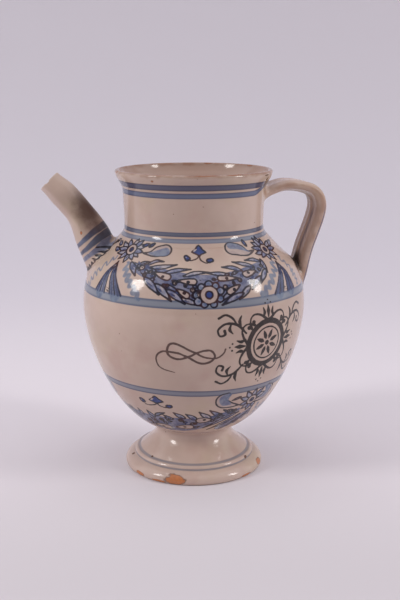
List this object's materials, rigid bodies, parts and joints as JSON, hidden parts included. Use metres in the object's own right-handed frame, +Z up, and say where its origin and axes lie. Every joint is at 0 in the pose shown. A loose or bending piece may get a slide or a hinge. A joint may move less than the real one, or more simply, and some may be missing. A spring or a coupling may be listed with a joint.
{
  "type": "maiolica jug",
  "caption": "Glazed earthenware jug on a spreading foot, with a wide neck, a bent pouring spout and a strap handle opposite.",
  "frame": {"origin": "middle of the jug's bounding box, at the level of the surface it stands on", "axes": "+Z up, +X towards the handle, -X towards the spout, -Y towards the painted front"},
  "size_m": [0.2062, 0.161, 0.22],
  "materials": {
    "tin_glaze": "gloss, warm off-white tin glaze painted in cobalt blue and manganese brown",
    "foot_glaze": "gloss, warm off-white tin glaze with chips down to terracotta",
    "glazed_slip": "gloss, off-white tin glaze run thick over slip fillets"
  },
  "bodies": {
    "root": {"foot": "foot_glaze", "body": "tin_glaze", "neck": "tin_glaze", "spout": "tin_glaze", "handle": "tin_glaze", "foot_lute": "glazed_slip", "neck_lute": "glazed_slip", "spout_lute": "glazed_slip", "handle_upper_lute": "glazed_slip", "handle_lower_lute": "glazed_slip"}
  },
  "joints": []
}
